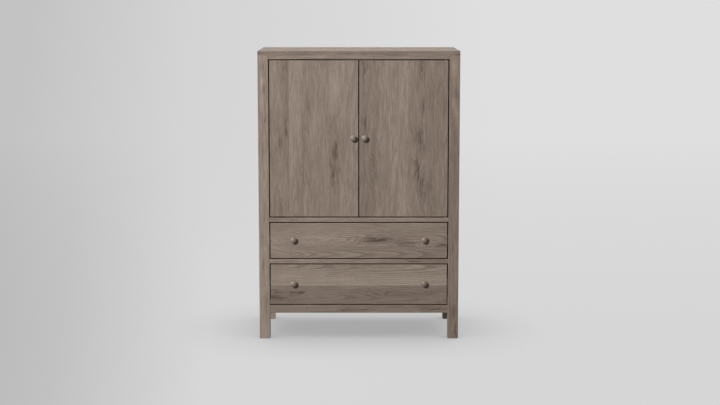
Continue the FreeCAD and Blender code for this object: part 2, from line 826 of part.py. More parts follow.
def drawer_slides():
    """Cleats, slides and their screws for both drawers; returns the left-hand screws."""
    cabinet_half = "slide_height / 2"
    middle_half = f"{cabinet_half} - slide_gauge - slide_play"
    middle_start = "slide_gauge + slide_head_room"
    middle_reach = "slide_reach - slide_gauge - slide_play"
    drawer_start = f"{middle_start} + slide_gauge + slide_play"
    drawer_half = f"{middle_half} - slide_gauge - slide_lip - slide_play"
    drawer_bead = f"{middle_half} - slide_gauge - slide_play"
    all_screws = []
    for name in DRAWERS:
        level = f"{name}_box_bottom + {name}_box_height / 2"
        screws = slide_screws(name, level)
        all_screws += screws
        drilled = group(f"{name}_slide_screws", screws)
        cleat = side_cleat(f"{name}_cleat", f"{level} - slide_cleat_height / 2", "slide_cleat_height")
        drilled_cleat = cut_by(f"{name}_cleat_drilled", cleat, drilled)
        parts[f"{name}_slide_cleats"] = pair(f"{name}_slide_cleats", drilled_cleat)
        section = channel_corners("0", "slide_reach", cabinet_half)
        cabinet = slide_member(f"{name}_cabinet_slide", section, level)
        drilled_slide = cut_by(f"{name}_cabinet_slide_drilled", cabinet, drilled)
        parts[f"{name}_cabinet_slides"] = pair(f"{name}_cabinet_slides", drilled_slide)
        section = channel_corners(middle_start, middle_reach, middle_half)
        middle = slide_member(f"{name}_middle_slide", section, level)
        parts[f"{name}_middle_slides"] = pair(f"{name}_middle_slides", middle)
        section = hat_corners(drawer_start, "slide_space", drawer_half, drawer_bead)
        on_drawer = slide_member(f"{name}_drawer_slide", section, level)
        parts[f"{name}_drawer_slides"] = pair(f"{name}_drawer_slides", on_drawer)
    left_screws = group("left_slide_screws", all_screws)
    parts["cabinet_slide_screws"] = pair("cabinet_slide_screws", left_screws)
    return left_screws


def dovetail(height, base, end):
    """One tail in side view, the lowest of its row, from its base out to its wider end."""
    pitch = f"{height} / tail_count"
    middle = f"{pitch} / 2"
    half_base = f"{pitch} * tail_base_share / 2"
    half_end = f"{pitch} * tail_end_share / 2"
    return [
        (base, f"{middle} - {half_base}"),
        (end, f"{middle} - {half_end}"),
        (end, f"{middle} + {half_end}"),
        (base, f"{middle} + {half_base}"),
    ]


def bottom_groove(body, place_of_body, name):
    """The space that the drawer's bottom takes in a board whose corner lies at a given place."""
    across = "-box_half + box_wall - bottom_groove"
    deep = "box_start + box_wall - bottom_groove"
    up = f"{name}_box_bottom + bottom_rise"
    place = [f"{text} - ({corner})" for text, corner in zip((across, deep, up), place_of_body)]
    cut_box(body, place, bottom_size())


def bottom_size():
    shrink = "2 * (box_wall - bottom_groove)"
    return (f"2 * box_half - {shrink}", f"box_length - {shrink}", "bottom_thickness")


def box_side(name):
    """A drawer's left side with a row of dovetails at each end and the groove for its bottom."""
    height = f"{name}_box_height"
    place = ("-box_half", "box_start", f"{name}_box_bottom")
    body = new_body(f"{name}_drawer_left_side")
    between = rectangle("box_wall", "box_length - 2 * box_wall", ("0", "box_wall"))
    extrude(body, "Pad", outline(body, "XY_Plane", between), height)
    for base, end in (("box_wall", "0"), ("box_length - box_wall", "box_length")):
        tail = extrude(body, "Pad", outline(body, "YZ_Plane", dovetail(height, base, end)), "box_wall")
        repeat(body, tail, "Z_Axis", f"{height} - {height} / tail_count", "tail_count")
    bottom_groove(body, place, name)
    put(body, place)
    return body


def box_end(label, name, deep, base, end):
    """A drawer's front or back between its sides, with sockets for their dovetails."""
    height = f"{name}_box_height"
    place = ("-box_half", deep, f"{name}_box_bottom")
    body = board(label, place, ("2 * box_half", "box_wall", height))
    for lift in ("0", "2 * box_half - box_wall"):
        sketch = outline(body, "YZ_Plane", dovetail(height, base, end), lift)
        socket = extrude(body, "Pocket", sketch, "box_wall", True)
        repeat(body, socket, "Z_Axis", f"{height} - {height} / tail_count", "tail_count")
    bottom_groove(body, place, name)
    return body


def drawer(name):
    """One drawer: its front, its dovetailed box, its bottom, its two knobs and their screws."""
    bottom = f"{name}_front_bottom"
    height = f"{name}_front_height"
    knob_up = f"({height} / 2 + knob_rise)"
    knob_side = "door_outer - drawer_knob_inset"
    grip = "front_thickness + box_wall"
    place = ("-door_outer", "front", bottom)
    face = board(f"{name}_drawer_front", place, ("2 * door_outer", "front_thickness", height))
    ease(face, lambda at: True)
    box_front = box_end(f"{name}_drawer_box_front", name, "box_start", "box_wall", "0")
    for across in ("drawer_knob_inset", "2 * door_outer - drawer_knob_inset"):
        knob_hole(face, across, knob_up, "front_thickness")
        knob_hole(box_front, f"{across} - door_outer + box_half", f"{knob_up} - box_lift", "box_wall")
    parts[f"{name}_drawer_front"] = face
    parts[f"{name}_drawer_box_front"] = box_front
    left_side = box_side(name)
    parts[f"{name}_drawer_left_side"] = left_side
    parts[f"{name}_drawer_right_side"] = mirrored(f"{name}_drawer_right_side", left_side)
    rear = "box_start + box_length - box_wall"
    parts[f"{name}_drawer_back"] = box_end(f"{name}_drawer_back", name, rear, "0", "box_wall")
    corner = "box_wall - bottom_groove"
    panel_place = (f"-box_half + {corner}", f"box_start + {corner}", f"{name}_box_bottom + bottom_rise")
    parts[f"{name}_drawer_bottom"] = board(f"{name}_drawer_bottom", panel_place, bottom_size())
    knob_place = (f"-({knob_side})", f"{bottom} + {knob_up}")
    left_knob = knob(f"{name}_left_knob", *knob_place)
    parts[f"{name}_drawer_knobs"] = pair(f"{name}_drawer_knobs", left_knob)
    left_screw = knob_screw(f"{name}_left_knob_screw", *knob_place, grip)
    parts[f"{name}_drawer_knob_screws"] = pair(f"{name}_drawer_knob_screws", left_screw)


def build():
    parts["top_panel"] = top_panel()
    parts["top_dowels"] = top_dowels()
    left_slide_screws = drawer_slides()
    left_post = cut_by("front_left_post", front_post(), left_slide_screws)
    parts["front_left_post"] = left_post
    parts["front_right_post"] = mirrored("front_right_post", left_post)
    back_post = rear_post()
    parts["rear_left_post"] = back_post
    parts["rear_right_post"] = mirrored("rear_right_post", back_post)
    both_sides("side_panel", side_panel())
    hung_doors()
    front_rails()
    parts["top_rear_rail"] = top_rear_rail()
    low_rail = REAR_RAILS["bottom_rear_rail"]
    parts["bottom_rear_rail"] = rail("bottom_rear_rail", *low_rail, "back - rear_rail_thickness")
    parts["back_panel"] = back_panel()
    parts["compartment_floor"] = compartment_floor()
    cleat = side_cleat("left_floor_cleat", "floor_bottom - floor_cleat_height", "floor_cleat_height")
    parts["floor_cleats"] = pair("floor_cleats", cleat)
    parts["adjustable_shelf"] = shelf()
    parts["shelf_pins"] = shelf_pins()
    for name in DRAWERS:
        drawer(name)
    doc.recompute()


def check():
    """Stops where any object failed or any sub-part has no valid solid."""
    failed = [o.Label for o in doc.Objects if {"Invalid", "Error"} & set(o.State)]
    if failed:
        raise RuntimeError(f"failed objects: {failed}")
    for label, piece in parts.items():
        shape = piece.Shape
        if shape.isNull() or not shape.isValid() or not shape.Solids:
            raise RuntimeError(f"no valid solid: {label}")


def write():
    os.makedirs("parts", exist_ok=True)
    for label, piece in parts.items():
        piece.Shape.exportStep(f"parts/{label}.step")
    print(f"{len(parts)} sub-parts written")


build()
check()
write()
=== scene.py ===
import math
import bpy
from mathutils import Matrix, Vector


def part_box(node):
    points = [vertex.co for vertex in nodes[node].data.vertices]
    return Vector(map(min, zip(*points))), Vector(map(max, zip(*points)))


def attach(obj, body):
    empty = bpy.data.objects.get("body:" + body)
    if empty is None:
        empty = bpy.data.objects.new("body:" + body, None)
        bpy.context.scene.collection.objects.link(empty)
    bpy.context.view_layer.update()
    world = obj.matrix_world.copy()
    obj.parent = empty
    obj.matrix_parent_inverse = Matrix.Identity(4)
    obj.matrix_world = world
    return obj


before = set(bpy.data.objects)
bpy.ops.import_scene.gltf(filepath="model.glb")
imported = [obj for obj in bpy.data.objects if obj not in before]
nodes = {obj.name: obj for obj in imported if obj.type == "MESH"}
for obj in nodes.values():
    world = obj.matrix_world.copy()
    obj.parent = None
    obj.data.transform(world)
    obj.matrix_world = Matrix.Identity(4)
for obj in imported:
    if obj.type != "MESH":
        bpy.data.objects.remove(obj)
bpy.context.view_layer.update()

# Posts. Four square oak posts, sawn along the grain, that run down as legs; every rail is tenoned
# into them. The case is stained grey-brown like weathered oak and sealed with a matt lacquer, so
# the open grain still shows as fine darker streaks.
MM = 1000.0
WEATHERED_OAK = {
    "colours": ("#4e4037", "#817266", "#aa9c8f"),
    # growth rings and streaks are drawn two to three times as wide as real ones, so that they show
    "ring": 8.5,
    # each layer is its cell along, across and through the board in mm, its detail and its roughness
    "layers": {
        "drift": ((480, 130, 130), 1.0, 0.5),
        "fade": ((380, 55, 55), 1.0, 0.5),
        "streak": ((60, 5.2, 5.2), 4.0, 0.62),
        "fleck": ((110, 15, 15), 2.0, 0.5),
        "mottle": ((520, 75, 75), 2.0, 0.5),
        "pore": ((28, 0.9, 0.9), 1.0, 0.5),
    },
    # how far the rings sway along, across and through the board in mm
    "sway": (60, 26, 30),
    "weights": {"ring": 0.14, "streak": 0.54, "fleck": 0.40, "mottle": 0.36},
    "pore_depth": 0.26,
    "rubbed": 0.08,
    "roughness": (0.44, 0.62),
    "specular": 0.35,
    # strength and depth in mm of the open grain that can be felt
    "relief": (0.35, 0.5),
}
# a ring is darkest at its start and palest near its end, and fades in and out along the log
RING_PROFILE = ((0.0, 0.1), (0.14, 0.3), (0.45, 0.75), (0.86, 0.95), (1.0, 0.1))
RING_MIDDLE = 0.68
RING_SHOWN = (0.15, 1.0)
# the values between which most of a noise lies, nearly all of it, and the pores in it
NOISE_BODY = (0.36, 0.62)
NOISE_ENDS = (0.3, 0.7)
PORE_NOISE = (0.54, 0.68)
# each stave is cut from another place in the log: its step in seed, and a whole seed in mm
STAVE_STEP = 0.137
STAVE_SHIFT = (9000, 3000, 2000)
# how strongly the darkest streaks, the palest streaks and the ring lines take a figure's stain
STAIN_TAKEN = (-1.7, -0.3)
STAINED_LINES = 0.9
STREAK_RELIEF = 0.5
WORN_EDGE = 3.5


def linear(text):
    """A linear colour from an sRGB hex value."""
    shares = [int(text[at:at + 2], 16) / 255 for at in (1, 3, 5)]
    return [s / 12.92 if s <= 0.04045 else ((s + 0.055) / 1.055) ** 2.4 for s in shares] + [1.0]


def add(tree, kind, links=None, stops=(), interpolation="LINEAR", **settings):
    """A node with its settings, the stops of its colour ramp, and its links or fixed inputs."""
    made = tree.nodes.new(kind)
    for name, value in settings.items():
        setattr(made, name, value)
    if stops:
        ramp = made.color_ramp
        ramp.interpolation = interpolation
        ramp.elements.remove(ramp.elements[1])
        for index, (place, colour) in enumerate(stops):
            stop = ramp.elements.new(place) if index else ramp.elements[0]
            stop.position = place
            stop.color = colour
    for socket, value in (links or {}).items():
        if isinstance(value, bpy.types.Node):
            value = value.outputs[0]
        if isinstance(value, bpy.types.NodeSocket):
            tree.links.new(value, made.inputs[socket])
        else:
            made.inputs[socket].default_value = value
    return made


def log_rings(tree, finish, board, drift, stave_heart, across, heart, figures):
    """How far each point lies from the pith of its log in mm, and the stain that the figures add."""
    sway = finish["sway"]
    depth, lean = heart
    warped = add(tree, "ShaderNodeVectorMath", {0: drift.outputs["Color"], 1: sway, 2: board},
                 operation="MULTIPLY_ADD")
    warped_axes = add(tree, "ShaderNodeSeparateXYZ", {0: warped}).outputs
    aside = add(tree, "ShaderNodeMath", {0: stave_heart, 1: -across, 2: warped_axes[1]},
                operation="MULTIPLY_ADD")
    behind = add(tree, "ShaderNodeMath", {0: warped_axes[0], 1: lean, 2: warped_axes[2]},
                 operation="MULTIPLY_ADD")
    from_pith = add(tree, "ShaderNodeCombineXYZ", {1: aside, 2: behind})
    pith = (0, (across - sway[1]) / 2, depth - (sway[2] + lean * sway[0]) / 2)
    centred = add(tree, "ShaderNodeVectorMath", {0: from_pith, 1: pith}, operation="ADD")
    rings = add(tree, "ShaderNodeVectorMath", {0: centred}, operation="LENGTH").outputs["Value"]
    stain = 0.0
    for at_along, at_across, length, width, loops, darkness in figures:
        place = (at_along + sway[0] / 2, at_across + sway[1] / 2, 0)
        spot = add(tree, "ShaderNodeMapping",
                   {"Vector": warped, "Location": place, "Scale": (length, width, length)},
                   vector_type="TEXTURE")
        eye = add(tree, "ShaderNodeTexGradient", {0: spot}, gradient_type="QUADRATIC_SPHERE").outputs[1]
        rings = add(tree, "ShaderNodeMath", {0: eye, 1: loops * finish["ring"], 2: rings},
                    operation="MULTIPLY_ADD")
        stain = add(tree, "ShaderNodeMath", {0: eye, 1: darkness, 2: stain}, operation="MULTIPLY_ADD")
    return rings, stain


def rubbed_edges(tree, board, sizes, amount):
    """How much paler the stain is within a few mm of an edge, where it is rubbed thin."""
    inside = add(tree, "ShaderNodeVectorMath", {0: board}, operation="ABSOLUTE")
    room = add(tree, "ShaderNodeVectorMath", {0: [size / 2 for size in sizes], 1: inside},
               operation="SUBTRACT")
    along, across, through = add(tree, "ShaderNodeSeparateXYZ", {0: room}).outputs
    nearer = add(tree, "ShaderNodeMath", {0: along, 1: across}, operation="MINIMUM")
    farther = add(tree, "ShaderNodeMath", {0: along, 1: across}, operation="MAXIMUM")
    middle = add(tree, "ShaderNodeMath", {0: farther, 1: through}, operation="MINIMUM")
    to_edge = add(tree, "ShaderNodeMath", {0: nearer, 1: middle}, operation="MAXIMUM")
    return add(tree, "ShaderNodeMapRange", {"Value": to_edge, "From Min": 0.0, "From Max": WORN_EDGE,
                                            "To Min": amount, "To Max": 0.0})


def sawn_board(name, node, lie, finish, seed, tone=0.0, heart=(60.0, 0.05),
               staves=((0.0, 0.0, 0.5),), figures=(), rubbed=True):
    """Wood cut from a log: growth rings round a pith behind the face, streaks, pores, rubbed edges.

    lie names the axes along the grain, across the face and through the board. heart is how far
    the pith lies behind the face in mm and how fast it drifts along the grain. A stave is its
    start across the face, its tone and where its heart lies; a figure is (along, across, length,
    width, rings, darkness), in mm from the middle of the board.
    """
    material = bpy.data.materials.new(name)
    material.use_nodes = True
    tree = material.node_tree
    shader = tree.nodes["Principled BSDF"]
    low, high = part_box(node)
    order = ["xyz".index(axis) for axis in lie]
    sizes = [(high[axis] - low[axis]) * MM for axis in order]
    across = sizes[1]
    weight = finish["weights"]
    coords = add(tree, "ShaderNodeTexCoord").outputs["Object"]
    centre = [-(a + b) / 2 * MM for a, b in zip(low, high)]
    placed = add(tree, "ShaderNodeMapping", {"Vector": coords, "Location": centre, "Scale": (MM, MM, MM)})
    axes = add(tree, "ShaderNodeSeparateXYZ", {0: placed}).outputs
    board = add(tree, "ShaderNodeCombineXYZ", {index: axes[axis] for index, axis in enumerate(order)})

    share = add(tree, "ShaderNodeMapRange",
                {"Value": axes[order[1]], "From Min": -across / 2, "From Max": across / 2})
    stops = [(start, (0.5 + lift, (seed + STAVE_STEP * index) % 1, spot, 1))
             for index, (start, lift, spot) in enumerate(staves)]
    stave = add(tree, "ShaderNodeValToRGB", {0: share}, stops, "CONSTANT")
    stave_tone, stave_seed, stave_heart = add(tree, "ShaderNodeSeparateColor", {0: stave}).outputs
    moved = add(tree, "ShaderNodeVectorMath", {0: stave_seed, 1: STAVE_SHIFT, 2: board},
                operation="MULTIPLY_ADD")
    layers = {}
    for layer, (cell_size, detail, roughness) in finish["layers"].items():
        cell = add(tree, "ShaderNodeVectorMath", {0: moved, 1: cell_size}, operation="DIVIDE")
        layers[layer] = add(tree, "ShaderNodeTexNoise",
                            {"Vector": cell, "Scale": 1.0, "Detail": detail, "Roughness": roughness})
    streak = layers["streak"]

    # a figure takes the stain unevenly, along the streaks, and its rings stand out more
    rings, stain = log_rings(tree, finish, board, layers["drift"], stave_heart, across, heart, figures)
    uneven = add(tree, "ShaderNodeMapRange",
                 {"Value": streak, "From Min": NOISE_BODY[0], "From Max": NOISE_BODY[1],
                  "To Min": STAIN_TAKEN[0], "To Max": STAIN_TAKEN[1]})
    shade = add(tree, "ShaderNodeMath", {0: uneven, 1: stain, 2: stave_tone}, operation="MULTIPLY_ADD")
    counted = add(tree, "ShaderNodeMath", {0: rings, 1: finish["ring"]}, operation="DIVIDE")
    phase = add(tree, "ShaderNodeMath", {0: counted}, operation="FRACT")
    profile = add(tree, "ShaderNodeValToRGB", {0: phase}, [(at, (v, v, v, 1)) for at, v in RING_PROFILE])
    shown = add(tree, "ShaderNodeMapRange",
                {"Value": layers["fade"], "From Min": NOISE_BODY[0], "From Max": NOISE_BODY[1],
                 "To Min": RING_SHOWN[0], "To Max": RING_SHOWN[1]})
    ringed = add(tree, "ShaderNodeMath", {0: profile, 1: RING_MIDDLE}, operation="SUBTRACT")
    ringed = add(tree, "ShaderNodeMath", {0: ringed, 1: shown}, operation="MULTIPLY")
    lines = add(tree, "ShaderNodeMath", {0: stain, 1: STAINED_LINES, 2: weight["ring"]},
                operation="MULTIPLY_ADD")
    shade = add(tree, "ShaderNodeMath", {0: ringed, 1: lines, 2: shade}, operation="MULTIPLY_ADD")
    for layer in ("streak", "fleck", "mottle"):
        shade = add(tree, "ShaderNodeMath", {0: layers[layer], 1: weight[layer], 2: shade},
                    operation="MULTIPLY_ADD")
    if rubbed:
        worn = rubbed_edges(tree, board, sizes, finish["rubbed"])
        shade = add(tree, "ShaderNodeMath", {0: shade, 1: worn}, operation="ADD")
    level = tone - (weight["streak"] + weight["fleck"] + weight["mottle"]) / 2
    shade = add(tree, "ShaderNodeMath", {0: shade, 1: level}, operation="ADD")
    colours = [linear(text) for text in finish["colours"]]
    colour = add(tree, "ShaderNodeValToRGB", {0: shade}, list(zip((0.0, 0.5, 1.0), colours)))

    pores = add(tree, "ShaderNodeMapRange",
                {"Value": layers["pore"], "From Min": PORE_NOISE[0], "From Max": PORE_NOISE[1],
                 "To Min": 1.0, "To Max": 1.0 - finish["pore_depth"]})
    stained = add(tree, "ShaderNodeVectorMath", {0: colour, "Scale": pores.outputs[0]}, operation="SCALE")
    smooth, rough = finish["roughness"]
    sheen = add(tree, "ShaderNodeMapRange",
                {"Value": streak, "From Min": NOISE_ENDS[0], "From Max": NOISE_ENDS[1],
                 "To Min": rough, "To Max": smooth})
    grain = add(tree, "ShaderNodeMath", {0: streak, 1: STREAK_RELIEF, 2: pores}, operation="MULTIPLY_ADD")
    strength, deep = finish["relief"]
    bump = add(tree, "ShaderNodeBump", {"Height": grain, "Strength": strength, "Distance": deep / MM})
    tree.links.new(stained.outputs[0], shader.inputs["Base Color"])
    tree.links.new(sheen.outputs[0], shader.inputs["Roughness"])
    tree.links.new(bump.outputs[0], shader.inputs["Normal"])
    shader.inputs["Specular IOR Level"].default_value = finish["specular"]
    return material


def dress(node, material):
    """Gives a CAD node its finish."""
    nodes[node].data.materials.clear()
    nodes[node].data.materials.append(material)


# each post is its seed, tone and heart, and its figures from the head down
POSTS = {
    "front_left_post": (0.11, 0.085, (30, 0.03), (
        (638, 4, 70, 15, 1.0, 0.36), (560, -6, 70, 18, 1.0, -0.30), (525, 4, 50, 12, 1.0, 0.32),
        (470, -6, 80, 20, 1.0, -0.30), (390, 8, 110, 12, 2.0, 0.26), (240, -6, 120, 12, 2.0, 0.20),
        (-60, 6, 160, 12, 2.0, 0.18), (-330, -4, 120, 14, 2.0, 0.20), (-560, 6, 120, 12, 2.0, 0.18),
        (-640, 0, 140, 40, 0.0, -0.10))),
    "front_right_post": (0.37, -0.06, (38, -0.04), (
        (640, 0, 130, 60, 2.0, -0.26), (504, 8, 40, 14, 1.0, 0.30), (470, -4, 70, 16, 1.0, -0.26),
        (420, 4, 60, 14, 1.0, -0.26), (310, -2, 120, 14, 2.0, 0.20), (-254, -4, 110, 16, 2.0, 0.28),
        (-560, 4, 80, 16, 1.0, 0.20), (-650, 14, 80, 16, 1.0, 0.18))),
    # the rear posts are stained paler than the front ones as painted light, standing in for light that
    # reaches their feet under the armoire
    "rear_left_post": (0.58, 0.16, (34, 0.04), ()),
    "rear_right_post": (0.83, 0.14, (42, -0.03), ()),
}
for node, (seed, tone, heart, figures) in POSTS.items():
    dress(node, sawn_board(f"weathered_oak_{node}", node, "zxy", WEATHERED_OAK, seed, tone, heart,
                           figures=figures))

# Rails. Sawn oak rails between the posts, tenoned at both ends and flush with the front; the two
# rear ones stand behind the back panel. Their grain runs from side to side.
RAIL_HEART = (44, 0.02)
RAILS = {
    "top_front_rail": (0.21, 0.02, ()),
    "door_rail": (0.47, 0.03, ((-330, 0, 240, 60, 0.0, 0.06), (180, 0, 420, 60, 0.0, -0.05))),
    "drawer_rail": (0.66, 0.02, ((60, 0, 220, 40, 0.0, -0.08), (290, 0, 220, 30, 0.0, 0.10))),
    "bottom_front_rail": (0.91, -0.08, (
        (-300, 0, 260, 60, 0.0, -0.09), (330, 0, 330, 60, 0.0, 0.09), (-120, 0, 90, 16, 1.0, -0.20),
        (-62, -2, 50, 10, 1.0, 0.36), (20, -4, 90, 10, 1.0, 0.30), (365, 2, 110, 16, 2.0, 0.28))),
    "top_rear_rail": (0.05, -0.04, ()),
    "bottom_rear_rail": (0.29, -0.04, ()),
}
for node, (seed, tone, figures) in RAILS.items():
    dress(node, sawn_board(f"weathered_oak_{node}", node, "xzy", WEATHERED_OAK, seed, tone, RAIL_HEART,
                           figures=figures))

# Side panels. Edge-glued oak boards with upright grain, stained with the case and let into grooves
# in the posts. Their staves differ a little in tone.
SIDE_HEART = (70, 0.06)
SIDE_STAVES = ((0.0, 0.03, 0.4), (0.2, -0.05, 0.3), (0.42, 0.02, 0.55), (0.63, -0.02, 0.7),
               (0.82, 0.05, 0.9))
for node, seed in (("left_side_panel", 0.14), ("right_side_panel", 0.72)):
    dress(node, sawn_board(f"weathered_oak_{node}", node, "zyx", WEATHERED_OAK, seed, 0.0, SIDE_HEART,
                           SIDE_STAVES))

# Back panel. Thin plywood with a stained face veneer, slid into grooves in the rear posts; round
# holes let cables through. Its veneer is peeled from the log, so the figure is broad and wavy.
STAINED_PLYWOOD = dict(
    WEATHERED_OAK,
    colours=("#5c5048", "#7f7268", "#9a8d82"),
    ring=16.0,
    sway=(160, 90, 60),
    weights={"ring": 0.34, "streak": 0.4, "fleck": 0.1, "mottle": 0.36},
    rubbed=0.05,
    roughness=(0.55, 0.7),
)
dress("back_panel", sawn_board("stained_plywood", "back_panel", "zxy", STAINED_PLYWOOD, 0.33, 0.0,
                               (90, 0.12)))

# Compartment floor and its cleats. Edge-glued oak behind the doors, which rests on plain strips that
# are screwed along the sides. The strips are sanded poplar: pale, even and almost without pores.
FLOOR_STAVES = ((0.0, -0.03, 0.3), (0.24, 0.04, 0.5), (0.5, -0.05, 0.6), (0.74, 0.02, 0.8))
dress("compartment_floor", sawn_board("weathered_oak_compartment_floor", "compartment_floor", "xyz",
                                      WEATHERED_OAK, 0.52, 0.0, (60, 0.05), FLOOR_STAVES))
PALE_POPLAR = dict(
    WEATHERED_OAK,
    colours=("#9c8159", "#c6ad85", "#dccaa6"),
    ring=6.5,
    weights={"ring": 0.16, "streak": 0.42, "fleck": 0.1, "mottle": 0.4},
    pore_depth=0.1,
    rubbed=0.06,
    roughness=(0.5, 0.64),
)
for node, seed in (("floor_cleats", 0.17), ("upper_slide_cleats", 0.41), ("lower_slide_cleats", 0.77)):
    dress(node, sawn_board(f"pale_poplar_{node}", node, "yzx", PALE_POPLAR, seed, -0.1, rubbed=False))

# Top. Edge-glued oak boards with the grain from side to side, held on the posts by beech dowels.
# The last two figures make the ends of the top darker.
TOP_STAVES = ((0.0, 0.0, 0.4), (0.22, 0.05, 0.35), (0.45, -0.04, 0.6), (0.7, 0.03, 0.8))
TOP_FIGURES = (
    (-400, -250, 380, 90, 0.0, 0.10), (330, -250, 330, 90, 0.0, -0.09), (-239, -250, 70, 24, 1.0, 0.18),
    (-20, -250, 110, 20, 1.0, 0.13), (170, -250, 110, 20, 1.0, 0.12), (-482, -250, 50, 90, 0.0, 0.40),
    (482, -250, 60, 90, 0.0, 0.50))
dress("top_panel", sawn_board("weathered_oak_top_panel", "top_panel", "xyz", WEATHERED_OAK, 0.63, -0.05,
                              (55, 0.04), TOP_STAVES, TOP_FIGURES))
dress("top_dowels", sawn_board("beech_dowel", "top_dowels", "zxy", PALE_POPLAR, 0.25, 0.05, rubbed=False))

# Shelf. Edge-glued oak, stained like the case, on four nickel-plated steel pins that push into rows
# of holes in the posts. The plating is bright and slightly clouded.
dress("adjustable_shelf", sawn_board("weathered_oak_shelf", "adjustable_shelf", "xyz", WEATHERED_OAK,
                                     0.79, 0.02, (65, 0.05), FLOOR_STAVES))
# how much rougher dull spots are and smoother bright ones, and the strength and depth in mm of marks
METAL_GLOSS = (0.1, -0.05)
METAL_RELIEF = (0.12, 0.2)


def worked_metal(name, tint, dull_tint, roughness, cell_size):
    """Plated or rolled metal: two tints and a roughness that vary in cells of a size in mm."""
    material = bpy.data.materials.new(name)
    material.use_nodes = True
    tree = material.node_tree
    shader = tree.nodes["Principled BSDF"]
    coords = add(tree, "ShaderNodeTexCoord").outputs["Object"]
    cell = add(tree, "ShaderNodeVectorMath", {0: coords, 1: [size / MM for size in cell_size]},
               operation="DIVIDE")
    marks = add(tree, "ShaderNodeTexNoise", {"Vector": cell, "Scale": 1.0, "Detail": 3.0, "Roughness": 0.6})
    tints = (linear(dull_tint), linear(tint))
    colour = add(tree, "ShaderNodeValToRGB", {0: marks}, list(zip(NOISE_ENDS, tints)))
    gloss = add(tree, "ShaderNodeMapRange",
                {"Value": marks, "From Min": NOISE_ENDS[0], "From Max": NOISE_ENDS[1],
                 "To Min": roughness + METAL_GLOSS[0], "To Max": roughness + METAL_GLOSS[1]})
    strength, deep = METAL_RELIEF
    bump = add(tree, "ShaderNodeBump", {"Height": marks, "Strength": strength, "Distance": deep / MM})
    tree.links.new(colour.outputs[0], shader.inputs["Base Color"])
    tree.links.new(gloss.outputs[0], shader.inputs["Roughness"])
    tree.links.new(bump.outputs[0], shader.inputs["Normal"])
    shader.inputs["Metallic"].default_value = 1.0
    return material


nickel = worked_metal("nickel_plated_steel", "#b9b4a8", "#9a958b", 0.3, (2, 2, 2))
dress("shelf_pins", nickel)

# Doors. Two slabs of edge-glued oak staves with upright grain and eased edges, inset between the
# posts. The staves differ a little in tone, and dark eyes and flames of the grain show on them.
DOOR_STAVES = {
    "left": ((0.0, 0.0, 0.1), (0.217, 0.05, 0.3), (0.363, 0.02, 0.42), (0.555, 0.02, 0.74),
             (0.8, 0.07, 1.1)),
    "right": ((0.0, -0.06, -0.05), (0.12, -0.01, 0.2), (0.28, 0.06, 0.4), (0.44, 0.11, 0.5),
              (0.55, 0.0, 0.66), (0.74, -0.02, 0.95)),
}
DOOR_FIGURES = {
    "left": (
        (-80, 100, 300, 56, 4.0, 0.22), (-52, 103, 90, 16, 0.0, 0.40), (-180, 92, 120, 32, 0.0, 0.24),
        (338, -137, 90, 22, 2.0, 0.28), (150, -138, 150, 18, 1.0, 0.10), (44, -133, 110, 18, 1.0, 0.26),
        (-20, -160, 90, 18, 1.0, 0.20), (-202, -67, 160, 36, 3.0, 0.18), (-350, -158, 100, 50, 4.0, 0.20),
        (250, 96, 210, 60, 5.0, -0.24)),
    "right": (
        (-230, 96, 260, 90, 5.0, 0.14), (-144, 67, 90, 24, 0.0, 0.56), (-212, 76, 120, 34, 0.0, 0.28),
        (-12, 82, 130, 40, 4.0, 0.34), (158, 92, 70, 15, 1.0, 0.44), (338, 82, 100, 24, 2.0, 0.30),
        (230, 150, 230, 80, 4.0, 0.12), (320, -186, 150, 34, 3.0, 0.26), (60, -186, 170, 30, 3.0, 0.24),
        (-185, -145, 240, 60, 6.0, 0.14)),
}
for side, seed, heart in (("left", 0.08, (46, 0.05)), ("right", 0.54, (52, -0.05))):
    node = f"{side}_door_slab"
    dress(node, sawn_board(f"weathered_oak_{node}", node, "zxy", WEATHERED_OAK, seed, 0.0, heart,
                           DOOR_STAVES[side], DOOR_FIGURES[side]))

# Pivot hinges. Antique brass leaves, brushed and darkened, let into the rails and the door ends; a
# pin on each frame leaf turns in the hole of its door leaf. Countersunk screws hold them, bright and
# a little cloudy from their zinc plate.
brass = worked_metal("antique_brass", "#7d6842", "#544329", 0.36, (14, 1.2, 1.2))
zinc = worked_metal("zinc_plated_screws", "#c3c5c8", "#9ea1a5", 0.32, (1.5, 1.5, 1.5))
for side in ("left", "right"):
    dress(f"{side}_frame_pivots", brass)
    dress(f"{side}_door_pivots", brass)
    dress(f"{side}_door_pivot_screws", zinc)
dress("frame_pivot_screws", zinc)

# Catches. Brown moulded cases under the top rail, each with two pole plates that face the door, and
# nickel strike plates on the doors that the magnets pull on. The mould was spark-eroded, so the
# plastic is finely grained.
SPARK_GRAIN = 0.8
catch_plastic = bpy.data.materials.new("moulded_abs_catch")
catch_plastic.use_nodes = True
tree = catch_plastic.node_tree
shader = tree.nodes["Principled BSDF"]
coords = add(tree, "ShaderNodeTexCoord").outputs["Object"]
spark = add(tree, "ShaderNodeTexNoise", {"Vector": coords, "Scale": MM / SPARK_GRAIN, "Detail": 2.0})
tint = add(tree, "ShaderNodeValToRGB", {0: spark},
           [(0.35, linear("#33261d")), (0.65, linear("#443529"))])
spark_bump = add(tree, "ShaderNodeBump", {"Height": spark, "Strength": 0.2, "Distance": 0.2 / MM})
tree.links.new(tint.outputs[0], shader.inputs["Base Color"])
tree.links.new(spark_bump.outputs[0], shader.inputs["Normal"])
shader.inputs["Roughness"].default_value = 0.5
dress("door_catches", catch_plastic)
for side in ("left", "right"):
    dress(f"{side}_strike_plate", nickel)

